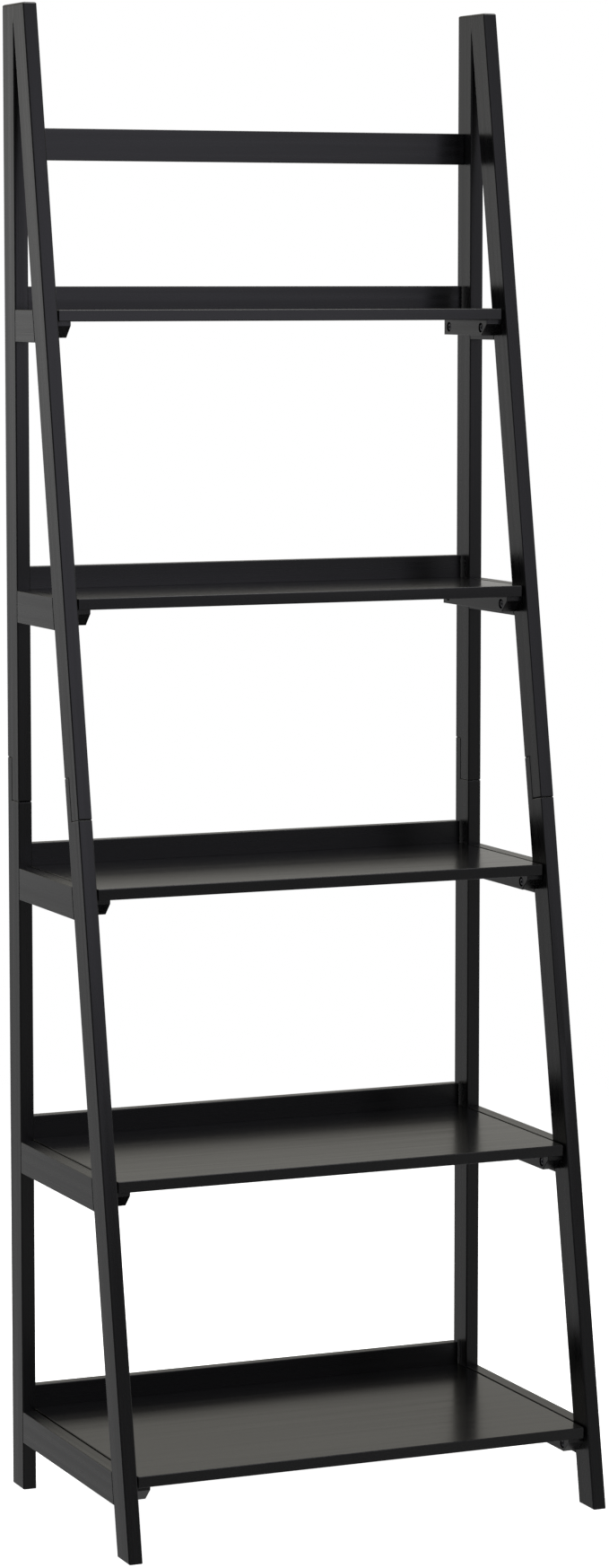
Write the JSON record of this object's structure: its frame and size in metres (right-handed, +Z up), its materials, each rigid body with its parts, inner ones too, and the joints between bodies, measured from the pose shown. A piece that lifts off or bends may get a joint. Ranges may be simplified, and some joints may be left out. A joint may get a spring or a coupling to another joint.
{
  "type": "ladder shelf",
  "caption": "Free-standing A-frame ladder shelf: upright back posts and leaning front stiles carry shelves that grow deeper towards the floor, each with a low back lip and a cleat at each end.",
  "frame": {"origin": "on the floor, in the middle of the rectangle that the feet and the posts' rear faces cover", "axes": "+X to the right seen from the front, +Y towards the back posts, +Z up"},
  "size_m": [0.61, 0.393, 1.778],
  "materials": {
    "black_painted_wood": "satin black paint over fine-grained hardwood, edges slightly eased",
    "black_zinc_steel": "black zinc plating, satin",
    "zinc_plated_steel": "zinc plating, slightly dull",
    "beech": "bare beech with a fluted, dry surface"
  },
  "bodies": {
    "root": {"left_post_upper": "black_painted_wood", "left_post_lower": "black_painted_wood", "left_stile_upper": "black_painted_wood", "left_stile_lower": "black_painted_wood", "right_post_upper": "black_painted_wood", "right_post_lower": "black_painted_wood", "right_stile_upper": "black_painted_wood", "right_stile_lower": "black_painted_wood", "left_rail_1": "black_painted_wood", "left_rail_2": "black_painted_wood", "left_rail_3": "black_painted_wood", "left_rail_4": "black_painted_wood", "left_rail_5": "black_painted_wood", "right_rail_1": "black_painted_wood", "right_rail_2": "black_painted_wood", "right_rail_3": "black_painted_wood", "right_rail_4": "black_painted_wood", "right_rail_5": "black_painted_wood", "shelf_board_1": "black_painted_wood", "shelf_board_2": "black_painted_wood", "shelf_board_3": "black_painted_wood", "shelf_board_4": "black_painted_wood", "shelf_board_5": "black_painted_wood", "shelf_lip_1": "black_painted_wood", "shelf_lip_2": "black_painted_wood", "shelf_lip_3": "black_painted_wood", "shelf_lip_4": "black_painted_wood", "shelf_lip_5": "black_painted_wood", "left_cleat_1": "black_painted_wood", "left_cleat_2": "black_painted_wood", "left_cleat_3": "black_painted_wood", "left_cleat_4": "black_painted_wood", "left_cleat_5": "black_painted_wood", "right_cleat_1": "black_painted_wood", "right_cleat_2": "black_painted_wood", "right_cleat_3": "black_painted_wood", "right_cleat_4": "black_painted_wood", "right_cleat_5": "black_painted_wood", "top_rail": "black_painted_wood", "cleat_bolts_1": "black_zinc_steel", "cleat_bolts_2": "black_zinc_steel", "cleat_bolts_3": "black_zinc_steel", "cleat_bolts_4": "black_zinc_steel", "cleat_bolts_5": "black_zinc_steel", "lap_bolts": "black_zinc_steel", "shelf_screws_1": "zinc_plated_steel", "shelf_screws_2": "zinc_plated_steel", "shelf_screws_3": "zinc_plated_steel", "shelf_screws_4": "zinc_plated_steel", "shelf_screws_5": "zinc_plated_steel", "left_inserts": "zinc_plated_steel", "right_inserts": "zinc_plated_steel", "left_dowels": "beech", "right_dowels": "beech", "top_rail_dowels": "beech"}
  },
  "joints": []
}
